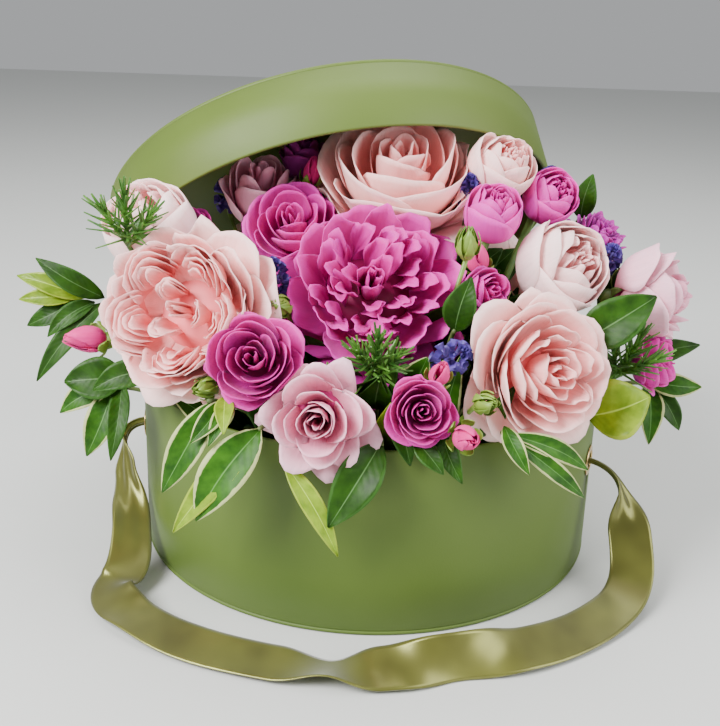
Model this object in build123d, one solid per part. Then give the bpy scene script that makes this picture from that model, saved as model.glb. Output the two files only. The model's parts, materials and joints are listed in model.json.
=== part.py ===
from build123d import *
import math
import os

# Round gift box with a lift-off lid, filled with a hand-tied summer arrangement of roses and
# foliage. Millimetres, +Z up. The origin is the middle of the box's underside, -Y is the front.

# Box: rolled board wall glued on a board base.
BOX_R = 140.0
BOX_H = 109.0
BOARD = 2.5

# Lid: board band and disc, leaning back on the rear blooms.
LID_CLEAR = 0.9
LID_BAND_H = 40.0
LID_TILT = 39.7
LID_SWING = 21.0
LID_MOUTH = (-23.6, 61.4, 168.2)

# Liner tray and the foam block that stands up out of it.
LINER_R = 121.0
LINER_WALL = 1.5
LINER_H = 72.0
FOAM_GAP = 0.3
FOAM_TOP = 94.0
FOAM_EDGE = 12.0

# Satin strap, its eyelets and the knots behind them.
STRAP_W = 25.0
STRAP_T = 0.6
EYELET_Z = 67.0
EYELET_HOLE_R = 6.5
EYELET_BORE_R = 5.7
EYELET_FLANGE_R = 9.4
EYELET_FLANGE_T = 0.8
EYELET_ANGLES = {"eyelet_left": 184.9, "eyelet_right": -20.5}
KNOT_R = 8.0
KNOT_L = 7.0
STATIONS = 96

# Route of the strap: point, share of its width there where it is gathered, and the way the width runs.
STRAP_ROUTE = [
    ((-135.5, -11.6, 67), 0.32, (0, -0.72, 0.69)),
    ((-153, -13.2, 67), 0.4, (0, -0.72, 0.69)),
    ((-150, -34, 48), 0.68, (0.7, -0.3, 0.45)),
    ((-139, -66, 27), 0.92, (0.9, 0.35, -0.2)),
    ((-135, -98, 10), 1.0, (1, 0.1, 0)),
    ((-145, -115, 8.3), 1.0, (0.8, 0.4, 0.45)),
    ((-127, -136, 6.3), 1.0, (0.5, 0.85, 0.1)),
    ((-94, -159, 4.3), 1.0, (0.35, 0.9, 0.2)),
    ((-48, -174, 4.3), 1.0, (0.2, 0.95, 0.16)),
    ((-20, -179, 5.3), 1.0, (0.1, 0.95, -0.3)),
    ((10, -181, 7.3), 1.0, (0, 0.9, 0.45)),
    ((49, -173, 12.3), 1.0, (-0.2, 0.4, 0.9)),
    ((90, -158, 7.3), 1.0, (-0.35, 0.8, 0.4)),
    ((128, -130, 5.3), 1.0, (-0.6, 0.75, 0.3)),
    ((154, -98, 8.3), 1.0, (-0.85, 0.5, 0.1)),
    ((155, -72, 34), 1.0, (-1, 0.1, 0)),
    ((147, -55, 67), 0.48, (-0.3, -0.8, 0.4)),
    ((127.4, -47.6, 67), 0.32, (-0.3, -0.8, 0.4)),
]

# Heads: centre, width, height as a share of the width, heading from the front, rise.
HEADS = {
    "rose_left": ((-100, -103, 168), 76, 0.62, -15, 22),
    "peony_centre": ((-2, -78, 178), 86, 0.62, 3, 38),
    "rose_top": ((12, -22, 229), 70, 0.70, 5, 62),
    "rose_right": ((89, -116, 146), 66, 0.62, 22, 18),
    "globe_right": ((104, -62, 188), 48, 0.85, 28, 28),
    "rose_lilac": ((-27, -152, 130), 46, 0.75, -3, 18),
    "globe_left": ((-125, -56, 203), 49, 0.85, -30, 55),
    "rose_back_left": ((-68, -4, 214), 37, 1.10, 10, 72),
    "globe_back_right": ((70, -25, 236), 36, 0.85, 40, 45),
    "rose_mauve": ((159, -48, 171), 43, 0.95, 70, 15),
    "spray_front_left": ((-60, -138, 155), 37, 0.75, -8, 22),
    "spray_upper_left": ((-47, -38, 202), 43, 0.70, -8, 42),
    "spray_front": ((24, -150, 135), 26, 0.90, 5, 25),
    "spray_back_right": ((63, -60, 217), 29, 1.00, 10, 50),
    "spray_far_right": ((100, -20, 218), 28, 1.00, 30, 45),
    "carnation_right": ((133, -12, 195), 27, 0.80, 60, 45),
    "spray_low_right": ((161, -60, 134), 26, 0.90, 60, 20),
    "spray_small_left": ((-107, -26, 196), 19, 0.90, -10, 45),
    "spray_inner_right": ((60, -84, 180), 19, 1.10, 40, 25),
    "bud_right": ((55, -68, 194), 14, 1.30, 0, 70),
    "bud_back": ((-38, -16, 229), 12, 1.40, 0, 80),
    "bud_left": ((-163, -62, 137), 18, 1.30, -70, 10),
    "bud_low_right": ((46, -160, 126), 15, 1.20, 5, 10),
    "bud_front": ((33, -138, 152), 12, 1.20, 15, 45),
    "tulip_back": ((-45, 14, 231), 23, 1.20, 0, 80),
    "rose_rear_left": ((-75, 90, 149), 66, 0.75, -150, 45),
    "rose_rear_mid": ((-8, 105, 153), 72, 0.75, 175, 50),
    "rose_rear_right": ((66, 94, 152), 70, 0.75, 140, 45),
    "rose_side_left": ((-118, 30, 142), 58, 0.80, -95, 35),
    "rose_side_right": ((112, 44, 150), 60, 0.80, 80, 35),
    "rose_crown_rear": ((18, 46, 207), 60, 0.80, 160, 75),
}
STEM_R = 2.0
HEAD_SEAT_R = 3.0
FOOT_SPREAD = 0.45
FOOT_Z = 64.0

# Small spikes and closed buds, one node each for the whole family.
SPIKES = {
    "grape_hyacinths": [
        ((-54, -82, 183), 14, 1.5, -20, 70),
        ((41, -122, 155), 16, 1.3, 40, 30),
        ((-91, 4, 210), 11, 1.5, -30, 80),
        ((51, -37, 225), 10, 1.5, 0, 85),
        ((104, 16, 222), 13, 1.3, 20, 70),
        ((134, -34, 188), 12, 1.2, 50, 60),
    ],
    "green_buds": [
        ((-51, -100, 172), 12, 1.3, -20, 30),
        ((-86, -130, 136), 12, 1.2, -30, 20),
        ((47, -90, 208), 13, 1.3, 0, 60),
        ((57, -142, 138), 12, 1.2, 20, 30),
    ],
    "rosemary": [
        ((2, -134, 147), 22, 1.8, 3, 25),
        ((-135, -92, 209), 10, 3.0, -24, 50),
        ((148, -80, 138), 16, 2.4, 40, 35),
    ],
}

# Foliage: foot of the stem, points of the stem, leaves as base, tip and width.
SPRIGS = {
    "sprig_left_upper": (
        (-54, 10),
        [(-156, -22, 148), (-191, -22, 150)],
        [
            ((-160, -23, 150), (-199, -24, 173), 11),
            ((-172, -22, 149), (-212, -20, 161), 10),
            ((-178, -23, 149), (-210, -26, 148), 9),
            ((-176, -22, 148), (-206, -26, 132), 11),
            ((-166, -22, 147), (-192, -34, 128), 10),
            ((-160, -22, 147), (-198, -40, 102), 11),
        ],
    ),
    "sprig_left_lower": (
        (-70, -44),
        [(-132, -64, 120), (-153, -66, 107)],
        [
            ((-140, -64.5, 115.5), (-174, -68, 113), 20),
            ((-148, -65.5, 110), (-177, -70, 95), 12),
            ((-147, -65.4, 110), (-160, -82, 74), 15),
            ((-142, -65, 113.5), (-144, -92, 76), 10),
        ],
    ),
    "sprig_front_left": (
        (-36, -34),
        [(-72, -132, 133), (-82, -142, 134)],
        [
            ((-80, -141, 133), (-104, -152, 88), 14),
            ((-76, -138, 132), (-89, -156, 117), 9),
            ((-71, -134, 131), (-80, -157, 116), 8),
            ((-74, -136, 134), (-72, -160, 124), 8),
        ],
    ),
    "leaf_green_front": (
        (-36, -24),
        [(-50, -138, 127), (-56, -148, 122)],
        [((-55, -147, 122), (-86, -160, 77), 19), ((-56, -148, 120), (-98, -156, 68), 12)],
    ),
    "leaf_lime_long": (
        (-14, -36),
        [(-40, -136, 118), (-43, -150, 104)],
        [((-43, -149, 105), (-15, -163, 61), 9)],
    ),
    "leaf_dark_front": (
        (4, -46),
        [(5, -134, 120), (5, -146, 115)],
        [((5, -145, 116), (-20, -163, 77), 18)],
    ),
    "leaf_small_front": (
        (22, -40),
        [(24, -128, 113), (22, -146, 118)],
        [((22, -145, 118), (36, -157, 105), 9)],
    ),
    "sprig_front_right": (
        (44, -28),
        [(66, -134, 124), (71, -140, 119)],
        [
            ((67, -135, 123), (79, -152, 104), 8),
            ((70, -139, 120), (114, -122, 94), 9),
            ((71, -140, 118), (112, -130, 82), 8),
        ],
    ),
    "leaf_broad_right": (
        (50, -40),
        [(110, -84, 113), (119, -92, 112)],
        [((118, -91, 112), (151, -92, 125), 27)],
    ),
    "sprig_right": (
        (60, -4),
        [(150, -34, 122), (170, -38, 110)],
        [
            ((153, -35, 120), (192, -36, 137), 12),
            ((162, -37, 115), (195, -40, 112), 12),
            ((164, -37, 113), (163, -58, 82), 12),
            ((169, -38, 110), (184, -44, 86), 10),
        ],
    ),
    "leaf_dark_right": (
        (58, 6),
        [(124, -30, 148), (134, -32, 152)],
        [((133, -32, 151), (160, -18, 176), 20)],
    ),
    "leaf_inner_right": (
        (28, -44),
        [(40, -92, 156), (42, -101, 162)],
        [((42, -100, 161), (49, -101, 191), 14)],
    ),
    "leaf_back_right": (
        (46, 14),
        [(121, 14, 192), (124, 11, 201)],
        [((124, 11, 200), (128, 7, 228), 12)],
    ),
}
TWIG_R = 1.2
LEAF_T = 0.8


def unit(x, y, z):
    return Vector(x, y, z).normalized()


def heading(turn, rise):
    a = math.radians(turn)
    e = math.radians(rise)
    return Vector(math.sin(a) * math.cos(e), -math.cos(a) * math.cos(e), math.sin(e))


def rod(start, end, radius):
    run = Vector(*end) - Vector(*start)
    seat = Plane(origin=start, z_dir=run)
    return seat * Cylinder(radius, run.length, align=(Align.CENTER, Align.CENTER, Align.MIN))


def ring(outer, inner, height, plane):
    sketch = plane * (Circle(outer) - Circle(inner))
    return extrude(sketch, amount=height, dir=plane.z_dir)


def eyelet_plane(angle):
    a = math.radians(angle)
    out = Vector(math.cos(a), math.sin(a), 0)
    return Plane(origin=Vector(0, 0, EYELET_Z), x_dir=(0, 0, 1), z_dir=out)


def box_base():
    return Cylinder(BOX_R, BOARD, align=(Align.CENTER, Align.CENTER, Align.MIN))


def box_wall():
    wall = ring(BOX_R, BOX_R - BOARD, BOX_H - BOARD, Plane.XY.offset(BOARD))
    for angle in EYELET_ANGLES.values():
        seat = eyelet_plane(angle).offset(BOX_R - 20)
        wall -= extrude(seat * Circle(EYELET_HOLE_R), amount=40)
    return wall


def eyelet(angle):
    inside = BOX_R - BOARD - 0.4
    outside = BOX_R + 0.05
    seat = eyelet_plane(angle)
    barrel = ring(EYELET_HOLE_R, EYELET_BORE_R, outside - inside, seat.offset(inside))
    outer = ring(EYELET_FLANGE_R, EYELET_BORE_R, EYELET_FLANGE_T, seat.offset(outside))
    inner = ring(
        EYELET_FLANGE_R, EYELET_BORE_R, EYELET_FLANGE_T, seat.offset(inside - EYELET_FLANGE_T)
    )
    return barrel + outer + inner


def lid_plane():
    swing = math.radians(LID_SWING)
    tilt = math.radians(LID_TILT)
    out = Vector(-math.sin(swing), math.cos(swing), 0)
    axis = out * math.sin(tilt) + Vector(0, 0, math.cos(tilt))
    return Plane(origin=LID_MOUTH, x_dir=(math.cos(swing), math.sin(swing), 0), z_dir=axis)


def lid_band():
    inner = BOX_R + LID_CLEAR
    return ring(inner + BOARD, inner, LID_BAND_H, lid_plane())


def lid_top():
    return extrude(
        lid_plane().offset(LID_BAND_H) * Circle(BOX_R + LID_CLEAR + BOARD), amount=BOARD
    )


def liner():
    low = Plane.XY.offset(BOARD)
    outer = extrude(low * Circle(LINER_R), amount=LINER_H)
    hollow = extrude(low.offset(LINER_WALL) * Circle(LINER_R - LINER_WALL), amount=LINER_H)
    return outer - hollow


def foam(stems):
    low = BOARD + LINER_WALL
    radius = LINER_R - LINER_WALL - FOAM_GAP
    block = extrude(Plane.XY.offset(low) * Circle(radius), amount=FOAM_TOP - low)
    block = chamfer(block.edges().group_by(Axis.Z)[-1], FOAM_EDGE)
    for stem in stems:
        block -= stem
    return block


def head_seat(centre, width, share, turn, rise):
    way = heading(turn, rise)
    return Plane(origin=Vector(*centre) - way * (width * share * 0.55), z_dir=way)


def head(centre, width, share, turn, rise):
    radius = width / 2
    height = width * share
    low = ThreePointArc(
        (HEAD_SEAT_R, 0),
        (HEAD_SEAT_R + (radius - HEAD_SEAT_R) * 0.72, height * 0.2),
        (radius, height * 0.6),
    )
    high = ThreePointArc(
        (radius, height * 0.6), (radius * 0.86, height * 0.85), (radius * 0.42, height)
    )
    edges = [
        Line((0, 0), (HEAD_SEAT_R, 0)),
        low,
        high,
        Line((radius * 0.42, height), (0, height)),
        Line((0, height), (0, 0)),
    ]
    profile = Plane.XZ * make_face(edges)
    return head_seat(centre, width, share, turn, rise) * revolve(profile, Axis.Z)


def stem(centre, width, share, turn, rise, radius):
    seat = head_seat(centre, width, share, turn, rise)
    neck = extrude(seat * Circle(radius), amount=-3.0)
    start = seat.origin - seat.z_dir * 3.0
    foot = Vector(seat.origin.X * FOOT_SPREAD, seat.origin.Y * FOOT_SPREAD, FOOT_Z)
    joint = Pos(start) * Sphere(radius)
    return neck + joint + rod(start, foot, radius)


def leaf(base, tip, width):
    run = Vector(*tip) - Vector(*base)
    look = Vector(0, -0.94, 0.6)
    across = run.cross(look).normalized()
    half = run.length / 2
    blade = Plane(origin=base, x_dir=run, z_dir=run.cross(across))
    upper = ThreePointArc((0, 0), (half, width / 2), (2 * half, 0))
    lower = ThreePointArc((2 * half, 0), (half, -width / 2), (0, 0))
    sketch = make_face([upper, lower])
    return extrude(blade.offset(-LEAF_T / 2) * sketch, amount=LEAF_T)


def sprig(foot, points, leaves):
    way = [(foot[0], foot[1], FOOT_Z)] + points
    body = Pos(*points[-1]) * Sphere(TWIG_R)
    for start, end in zip(way[:-1], way[1:]):
        body += rod(start, end, TWIG_R)
        body += Pos(*end) * Sphere(TWIG_R)
    for base, tip, width in leaves:
        body += leaf(base, tip, width)
    return body


def strap_path():
    points = [Vector(*p) for p, _, _ in STRAP_ROUTE]
    radii = []
    for a, b, c in zip(points[:-2], points[1:-1], points[2:]):
        run = min((b - a).length, (c - b).length)
        turn = math.radians((b - a).get_angle(c - b))
        radii.append(min(60.0, 0.45 * run / math.tan(turn / 2)))
    print("strap radii", [round(r, 1) for r in radii])
    return FilletPolyline(*points, radius=radii)


def strap_at(share):
    points = [Vector(*p) for p, _, _ in STRAP_ROUTE]
    marks = [0.0]
    for a, b in zip(points[:-1], points[1:]):
        marks.append(marks[-1] + (b - a).length)
    reach = share * marks[-1]
    i = max(k for k in range(len(marks) - 1) if marks[k] <= reach)
    u = (reach - marks[i]) / (marks[i + 1] - marks[i])
    u = u * u * (3 - 2 * u)
    _, w0, d0 = STRAP_ROUTE[i]
    _, w1, d1 = STRAP_ROUTE[i + 1]
    across = Vector(*d0).normalized() * (1 - u) + Vector(*d1).normalized() * u
    return STRAP_W * (w0 * (1 - u) + w1 * u), across


def strap():
    path = strap_path()
    sections = []
    area = 0.0
    for i in range(STATIONS + 1):
        t = i / STATIONS
        width, across = strap_at(t)
        tangent = path % t
        side = (across - tangent * across.dot(tangent)).normalized()
        plane = Plane(origin=path @ t, x_dir=side, z_dir=tangent)
        sections.append(plane * Rectangle(width, STRAP_T))
        area += width / (STATIONS + 1)
    band = loft(sections, ruled=True)
    print("strap length", round(path.length, 1), "volume", round(band.volume, 1))
    print("strap section x length", round(area * STRAP_T * path.length, 1))
    return band


def knot(end, angle):
    seat = eyelet_plane(angle)
    out = seat.z_dir
    reach = Vector(*end).dot(out)
    return extrude(seat.offset(reach) * Circle(KNOT_R), amount=-KNOT_L)


def ribbon():
    first = knot(STRAP_ROUTE[0][0], EYELET_ANGLES["eyelet_left"])
    last = knot(STRAP_ROUTE[-1][0], EYELET_ANGLES["eyelet_right"])
    return [strap(), first, last]


def build():
    nodes = {"box_base": [box_base()], "box_wall": [box_wall()]}
    for name, angle in EYELET_ANGLES.items():
        nodes[name] = [eyelet(angle)]
    nodes["ribbon"] = ribbon()
    nodes["lid_band"] = [lid_band()]
    nodes["lid_top"] = [lid_top()]
    nodes["liner"] = [liner()]
    stems = []
    for name, spec in HEADS.items():
        stalk = stem(*spec, STEM_R)
        nodes[name] = [head(*spec), stalk]
        stems.append(stalk)
    for name, specs in SPIKES.items():
        nodes[name] = []
        for spec in specs:
            stalk = stem(*spec, TWIG_R)
            nodes[name] += [head(*spec), stalk]
            stems.append(stalk)
    for name, spec in SPRIGS.items():
        nodes[name] = [sprig(*spec)]
        stems.append(nodes[name][0])
    nodes["foam"] = [foam(stems)]
    return nodes


os.makedirs("parts", exist_ok=True)
for name, solids in build().items():
    shape = solids[0] if len(solids) == 1 else Compound(children=solids)
    export_step(shape, f"parts/{name}.step")
    print(name, round(sum(s.volume for s in solids)))
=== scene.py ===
import json
import math
import random

import bmesh
import bpy
from mathutils import Matrix, Vector


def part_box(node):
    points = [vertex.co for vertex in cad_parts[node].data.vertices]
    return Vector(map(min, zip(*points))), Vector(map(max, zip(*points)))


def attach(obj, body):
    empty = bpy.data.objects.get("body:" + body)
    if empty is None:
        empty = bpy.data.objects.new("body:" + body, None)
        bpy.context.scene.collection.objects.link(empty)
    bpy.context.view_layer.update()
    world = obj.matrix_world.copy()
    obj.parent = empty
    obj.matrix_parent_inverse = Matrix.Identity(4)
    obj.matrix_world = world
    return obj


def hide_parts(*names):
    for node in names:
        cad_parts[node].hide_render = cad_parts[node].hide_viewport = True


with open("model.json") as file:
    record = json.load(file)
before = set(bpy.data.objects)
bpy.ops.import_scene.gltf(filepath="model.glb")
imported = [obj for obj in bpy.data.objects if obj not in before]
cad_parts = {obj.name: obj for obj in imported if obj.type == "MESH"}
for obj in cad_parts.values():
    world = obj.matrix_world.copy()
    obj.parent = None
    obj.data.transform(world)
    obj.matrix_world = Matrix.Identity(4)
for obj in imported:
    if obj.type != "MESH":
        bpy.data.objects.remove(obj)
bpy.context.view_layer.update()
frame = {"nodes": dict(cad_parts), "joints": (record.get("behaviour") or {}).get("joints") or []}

# The studio: a plain pale table top, a large soft key lamp from the left, a weaker fill from the
# right and a soft top light, and a camera a little above the rim of the box.
CAMERA_PLACE = (-0.007, -0.6496, 0.3386)
CAMERA_PITCH = math.radians(19.7)
CAMERA_ROLL = math.radians(1.9)
forward = Vector((0, math.cos(CAMERA_PITCH), -math.sin(CAMERA_PITCH)))
rise = Vector((0, math.sin(CAMERA_PITCH), math.cos(CAMERA_PITCH)))
level = Vector((1, 0, 0))
side = level * math.cos(CAMERA_ROLL) + rise * math.sin(CAMERA_ROLL)
rise = rise * math.cos(CAMERA_ROLL) - level * math.sin(CAMERA_ROLL)
camera = bpy.data.objects.new("camera", bpy.data.cameras.new("camera"))
camera.data.sensor_width = 36
camera.data.lens = 54.55
camera.data.clip_start = 0.02
camera_turn = Matrix((side, rise, -forward)).transposed().to_4x4()
camera.matrix_world = Matrix.Translation(CAMERA_PLACE) @ camera_turn
bpy.context.scene.collection.objects.link(camera)
bpy.context.scene.camera = camera

for label, place, aim, size, power in (
    ("key", (-0.95, -0.85, 1.15), (0, -0.05, 0.12), 0.8, 68),
    ("fill", (1.2, -0.6, 0.8), (0, 0, 0.12), 1.0, 24),
    ("top", (0.1, 0.5, 1.4), (0, 0, 0.1), 1.0, 17),
):
    lamp = bpy.data.objects.new(label, bpy.data.lights.new(label, "AREA"))
    lamp.data.size = size
    lamp.data.energy = power
    lamp.location = place
    lamp.rotation_euler = (Vector(aim) - Vector(place)).to_track_quat("-Z", "Y").to_euler()
    bpy.context.scene.collection.objects.link(lamp)
world = bpy.data.worlds.new("studio")
bpy.context.scene.world = world
world.use_nodes = True
world.node_tree.nodes["Background"].inputs["Color"].default_value = (0.86, 0.88, 0.9, 1)
world.node_tree.nodes["Background"].inputs["Strength"].default_value = 0.48

table_top = bmesh.new()
bmesh.ops.create_grid(table_top, x_segments=1, y_segments=1, size=3)
table_mesh = bpy.data.meshes.new("floor")
table_top.to_mesh(table_mesh)
table_top.free()
floor = bpy.data.objects.new("floor", table_mesh)
floor.location.z = -0.0002
bpy.context.scene.collection.objects.link(floor)
floor_paint = bpy.data.materials.new("pale_floor")
floor_paint.use_nodes = True
floor_shader = floor_paint.node_tree.nodes["Principled BSDF"]
floor_shader.inputs["Base Color"].default_value = (0.56, 0.57, 0.55, 1)
floor_shader.inputs["Roughness"].default_value = 0.55
floor.data.materials.append(floor_paint)


# The carrying strap: one length of olive-gold satin ribbon, knotted behind an eyelet at each
# side of the box. It drops to the table, turns over on itself and lies in loose waves in front.
def add_nodes(material, *kinds):
    return [material.node_tree.nodes.new("ShaderNode" + kind) for kind in kinds]


def set_inputs(node, **values):
    for name, value in values.items():
        node.inputs[name.replace("_", " ")].default_value = value


def new_material(name, rough):
    material = bpy.data.materials.new(name)
    material.use_nodes = True
    shader = material.node_tree.nodes["Principled BSDF"]
    shader.inputs["Roughness"].default_value = rough

    def join(*pairs):
        for source, leaving, target, entering in pairs:
            material.node_tree.links.new(source.outputs[leaving], target.inputs[entering])

    return material, shader, join


def ramp_of(node, *stops):
    ramp = node.color_ramp
    while len(ramp.elements) < len(stops):
        ramp.elements.new(0.5)
    for element, (place, colour) in zip(ramp.elements, stops):
        element.position = place
        element.color = (*colour, 1)
    return node


def finish_piece(name, bm, body, finishes, nodes=(), thick=0.0, smooth=True):
    mesh = bpy.data.meshes.new(name)
    bm.to_mesh(mesh)
    bm.free()
    piece = bpy.data.objects.new(name, mesh)
    bpy.context.scene.collection.objects.link(piece)
    for finish in finishes:
        mesh.materials.append(finish)
    if smooth:
        mesh.polygons.foreach_set("use_smooth", [True] * len(mesh.polygons))
    if thick:
        skin = piece.modifiers.new("thickness", "SOLIDIFY")
        skin.thickness = thick
        skin.offset = 0
    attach(piece, body)
    if nodes:
        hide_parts(*nodes)
    return piece


def facing(way):
    return way.to_track_quat("Z", "Y").to_matrix().to_4x4()


def eyelet_place(name):
    low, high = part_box(name)
    middle = (Vector(low) + Vector(high)) / 2
    out = Vector((middle.x, middle.y, 0)).normalized()
    return middle, out


def curve_mesh(name, points, detail, radius=0.0):
    line = bpy.data.curves.new(name, "CURVE")
    line.dimensions = "3D"
    line.resolution_u = detail
    line.bevel_depth = radius
    line.bevel_resolution = 2
    line.use_fill_caps = radius > 0
    run = line.splines.new("NURBS")
    run.points.add(len(points) - 1)
    for knot, point in zip(run.points, points):
        knot.co = (*point, 1)
    run.order_u = 3
    run.use_endpoint_u = True
    holder = bpy.data.objects.new(name, line)
    traced = bpy.data.meshes.new_from_object(holder)
    bpy.data.objects.remove(holder)
    return traced


STRAP_WIDE = 0.025
STRAP_THICK = 0.0006
# Each knot of the route: its place, the width there, and the direction that runs across the strap.
STRAP_ROUTE = (
    ((-0.1355, -0.0116, 0.067), 0.008, (0, -0.72, 0.69)),
    ((-0.153, -0.0132, 0.067), 0.010, (0, -0.72, 0.69)),
    ((-0.150, -0.034, 0.048), 0.017, (0.7, -0.3, 0.45)),
    ((-0.139, -0.066, 0.027), 0.023, (0.9, 0.35, -0.2)),
    ((-0.135, -0.098, 0.010), 0.025, (1, 0.1, 0)),
    ((-0.145, -0.115, 0.0083), 0.025, (0.8, 0.4, 0.45)),
    ((-0.127, -0.136, 0.0063), 0.025, (0.5, 0.85, 0.1)),
    ((-0.094, -0.159, 0.0043), 0.025, (0.35, 0.9, 0.2)),
    ((-0.048, -0.174, 0.0043), 0.025, (0.2, 0.95, 0.16)),
    ((-0.020, -0.179, 0.0053), 0.025, (0.1, 0.95, -0.3)),
    ((0.010, -0.181, 0.0073), 0.025, (0, 0.9, 0.45)),
    ((0.049, -0.173, 0.0123), 0.025, (-0.2, 0.4, 0.9)),
    ((0.090, -0.158, 0.0073), 0.025, (-0.35, 0.8, 0.4)),
    ((0.128, -0.130, 0.0053), 0.025, (-0.6, 0.75, 0.3)),
    ((0.154, -0.098, 0.0083), 0.025, (-0.85, 0.5, 0.1)),
    ((0.155, -0.072, 0.034), 0.025, (-1, 0.1, 0)),
    ((0.147, -0.055, 0.067), 0.012, (-0.3, -0.8, 0.4)),
    ((0.1274, -0.0476, 0.067), 0.008, (-0.3, -0.8, 0.4)),
)


route_mesh = curve_mesh("strap_line", [point for point, _, _ in STRAP_ROUTE], 14)
strap_line = [v.co.copy() for v in route_mesh.vertices]
bpy.data.meshes.remove(route_mesh)
strap = bmesh.new()
strap.loops.layers.uv.new("UVMap")
ACROSS = 12
bmesh.ops.create_grid(
    strap, x_segments=ACROSS, y_segments=len(strap_line) - 1, size=1, calc_uvs=True
)
legs = [0.0]
for a, b in zip(STRAP_ROUTE[:-1], STRAP_ROUTE[1:]):
    legs.append(legs[-1] + (Vector(b[0]) - Vector(a[0])).length)
runs = [0.0]
for a, b in zip(strap_line[:-1], strap_line[1:]):
    runs.append(runs[-1] + (b - a).length)
for v in strap.verts:
    u = v.co.x
    row = round((v.co.y + 1) / 2 * (len(strap_line) - 1))
    reach = runs[row] / runs[-1] * legs[-1]
    leg = max(k for k in range(len(legs) - 1) if legs[k] <= reach)
    part = (reach - legs[leg]) / (legs[leg + 1] - legs[leg])
    part = part * part * (3 - 2 * part)
    _, w0, d0 = STRAP_ROUTE[leg]
    _, w1, d1 = STRAP_ROUTE[leg + 1]
    width = w0 + (w1 - w0) * part
    across = Vector(d0).normalized().lerp(Vector(d1).normalized(), part)
    ahead = strap_line[min(row + 1, len(strap_line) - 1)] - strap_line[max(row - 1, 0)]
    ahead.normalize()
    across = (across - ahead * across.dot(ahead)).normalized()
    crown = ahead.cross(across)
    gather = (STRAP_WIDE - width) / STRAP_WIDE
    fold = gather * 0.0022 * math.cos(u * 7.5) + 0.0006 * (u * u - 0.4)
    v.co = strap_line[row] + across * (u * width / 2) + crown * fold
    v.co.z = max(v.co.z, 0.0004)
satin, shader, join = new_material("satin", 0.26)
where, weave, strands, cloud, colour, bump = add_nodes(
    satin, "TexCoord", "Mapping", "TexNoise", "TexNoise", "ValToRGB", "Bump"
)
set_inputs(weave, Scale=(60, 900, 1))
set_inputs(strands, Scale=1.0, Detail=3)
set_inputs(cloud, Scale=30)
ramp_of(colour, (0.3, (0.084, 0.083, 0.010)), (0.7, (0.168, 0.172, 0.030)))
set_inputs(bump, Strength=0.12, Distance=0.0003)
set_inputs(shader, Metallic=0.5, Sheen_Weight=0.25, Anisotropic=0.6)
join(
    (where, "UV", weave, "Vector"),
    (weave, "Vector", strands, "Vector"),
    (where, "Object", cloud, "Vector"),
    (cloud, "Fac", colour, "Fac"),
    (colour, "Color", shader, "Base Color"),
    (strands, "Fac", bump, "Height"),
    (bump, "Normal", shader, "Normal"),
)

KNOT = (0.013, 0.012, 0.0064, 1)
for eyelet, end in (("eyelet_left", 0), ("eyelet_right", -1)):
    _, out = eyelet_place(eyelet)
    tied = Matrix.Translation(Vector(STRAP_ROUTE[end][0]) - out * 0.0037) @ facing(out)
    made = bmesh.ops.create_cube(strap, size=1, matrix=tied @ Matrix.Diagonal(KNOT))
    edges = {e for v in made["verts"] for e in v.link_edges}
    bmesh.ops.bevel(
        strap, geom=list(edges), offset=0.0028, segments=4, profile=0.5, material=-1, affect="EDGES"
    )
ribbon = finish_piece("ribbon_strap", strap, "box", [satin], ["ribbon"], STRAP_THICK)


# The box: grey board rolled and glued to a round base, wrapped in matt olive paper that is
# turned over the rim and pasted down inside, with one lapped seam at the right.
def turned_profile(points, segments):
    shape = bmesh.new()
    verts = [shape.verts.new((r, 0, z)) for r, z in points]
    edges = [shape.edges.new(pair) for pair in zip(verts, verts[1:] + verts[:1])]
    bmesh.ops.spin(
        shape,
        geom=verts + edges,
        cent=(0, 0, 0),
        axis=(0, 0, 1),
        angle=2 * math.pi,
        steps=segments,
        use_merge=True,
    )
    bmesh.ops.remove_doubles(shape, verts=shape.verts, dist=1e-6)
    bmesh.ops.recalc_face_normals(shape, faces=shape.faces)
    return shape


def wrap_paper(name, dark, light, grain, mottle_scale):
    paper, shader, join = new_material(name, 0.56)
    where, fibre, mottle, shine, colour, bump, rough = add_nodes(
        paper, "TexCoord", "TexNoise", "TexNoise", "TexNoise", "ValToRGB", "Bump", "MapRange"
    )
    set_inputs(fibre, Scale=grain, Detail=8)
    set_inputs(mottle, Scale=mottle_scale, Detail=4)
    set_inputs(shine, Scale=24)
    ramp_of(colour, (0.35, dark), (0.65, light))
    set_inputs(bump, Strength=0.16, Distance=0.0004)
    set_inputs(rough, To_Min=0.48, To_Max=0.64)
    set_inputs(shader, Specular_IOR_Level=0.4)
    join(
        (where, "Object", fibre, "Vector"),
        (where, "Object", mottle, "Vector"),
        (where, "Object", shine, "Vector"),
        (mottle, "Fac", colour, "Fac"),
        (colour, "Color", shader, "Base Color"),
        (fibre, "Fac", bump, "Height"),
        (bump, "Normal", shader, "Normal"),
        (shine, "Fac", rough, "Value"),
        (rough, "Result", shader, "Roughness"),
    )
    return paper


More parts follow.
